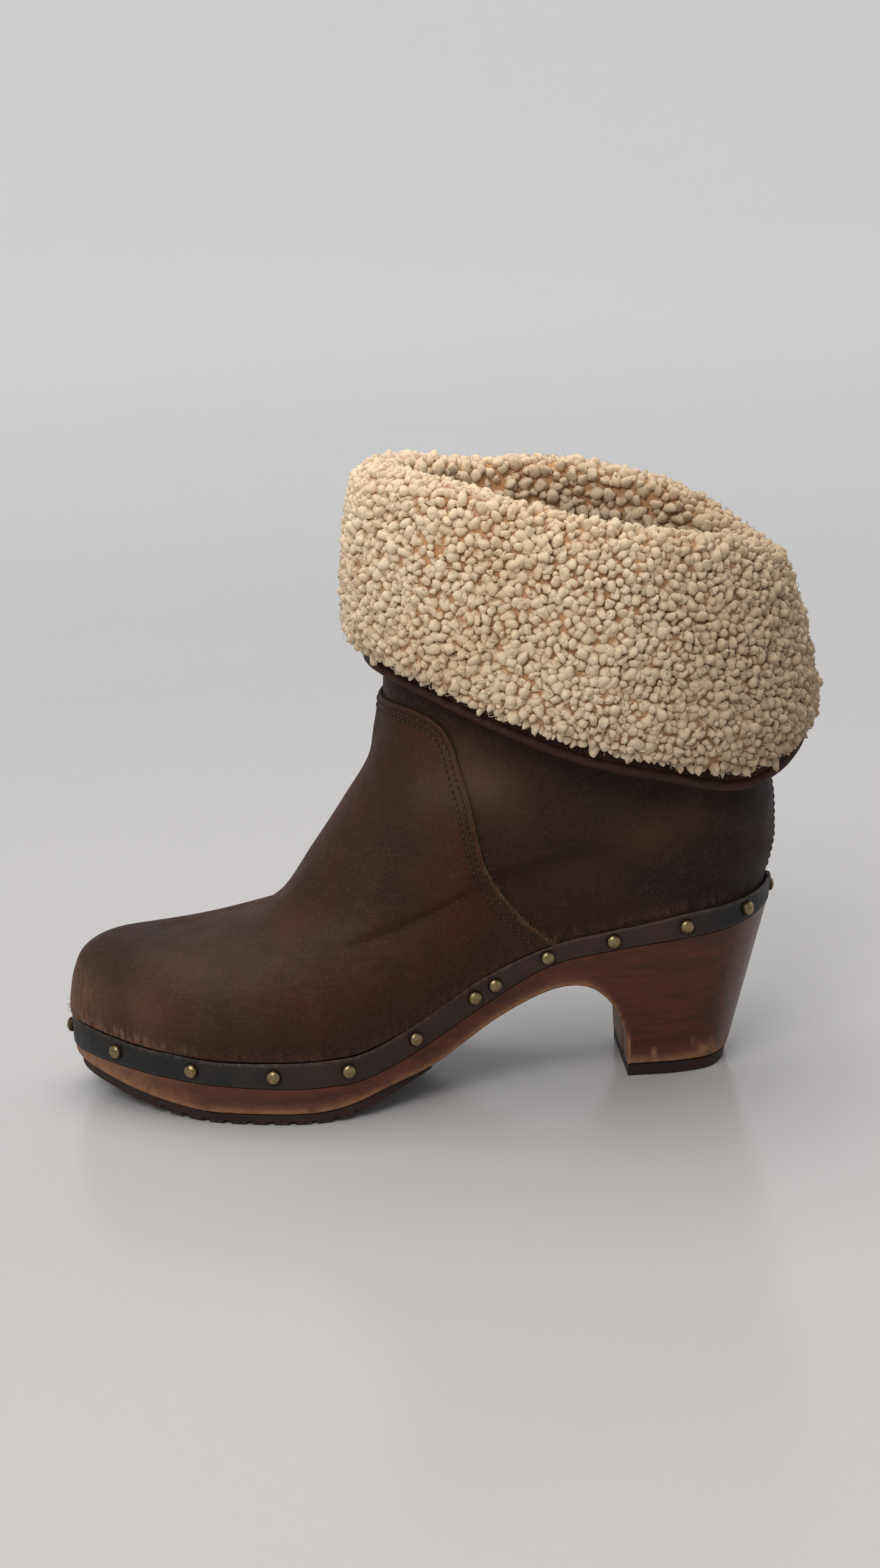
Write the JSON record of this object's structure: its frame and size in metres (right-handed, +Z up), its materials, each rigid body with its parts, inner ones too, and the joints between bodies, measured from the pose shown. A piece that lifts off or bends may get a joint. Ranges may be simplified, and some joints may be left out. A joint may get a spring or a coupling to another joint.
{
  "type": "clog boot",
  "caption": "Left ankle boot on a one-piece carved wooden sole and heel, with a studded rand, a leather upper and a turned-down shearling cuff.",
  "frame": {"origin": "on the floor, under the middle of the heel tip's width and about 17 mm in front of its back edge", "axes": "+X to the outer (little toe) side of the left foot, +Y from toe to heel, +Z up"},
  "size_m": [0.1417, 0.2896, 0.2399],
  "materials": {
    "wood": "stained and waxed, worn pale at the toe and edges",
    "rubber": "matt dark reddish brown",
    "rand": "nearly black, dull",
    "insole": "plain tan, matt",
    "leather": "waxed, dark brown, mottled",
    "vamp_leather": "waxed, dark brown, scuffed at the toe",
    "cuff_leather": "smooth dark brown, rolled edge",
    "shearling": "cream curly wool pile",
    "brass": "aged domed heads"
  },
  "bodies": {
    "root": {"wood_sole": "wood", "outsole": "rubber", "heel_tip": "rubber", "rand": "rand", "insole": "insole", "upper": "leather", "vamp": "vamp_leather", "cuff": "cuff_leather", "shearling": "shearling", "stud_01": "brass", "stud_02": "brass", "stud_03": "brass", "stud_04": "brass", "stud_05": "brass", "stud_06": "brass", "stud_07": "brass", "stud_08": "brass", "stud_09": "brass", "stud_10": "brass", "stud_11": "brass", "stud_12": "brass", "stud_13": "brass", "stud_14": "brass", "stud_15": "brass", "stud_16": "brass", "stud_17": "brass", "stud_18": "brass", "stud_19": "brass", "stud_20": "brass", "stud_21": "brass", "stud_22": "brass", "stud_23": "brass"}
  },
  "joints": []
}
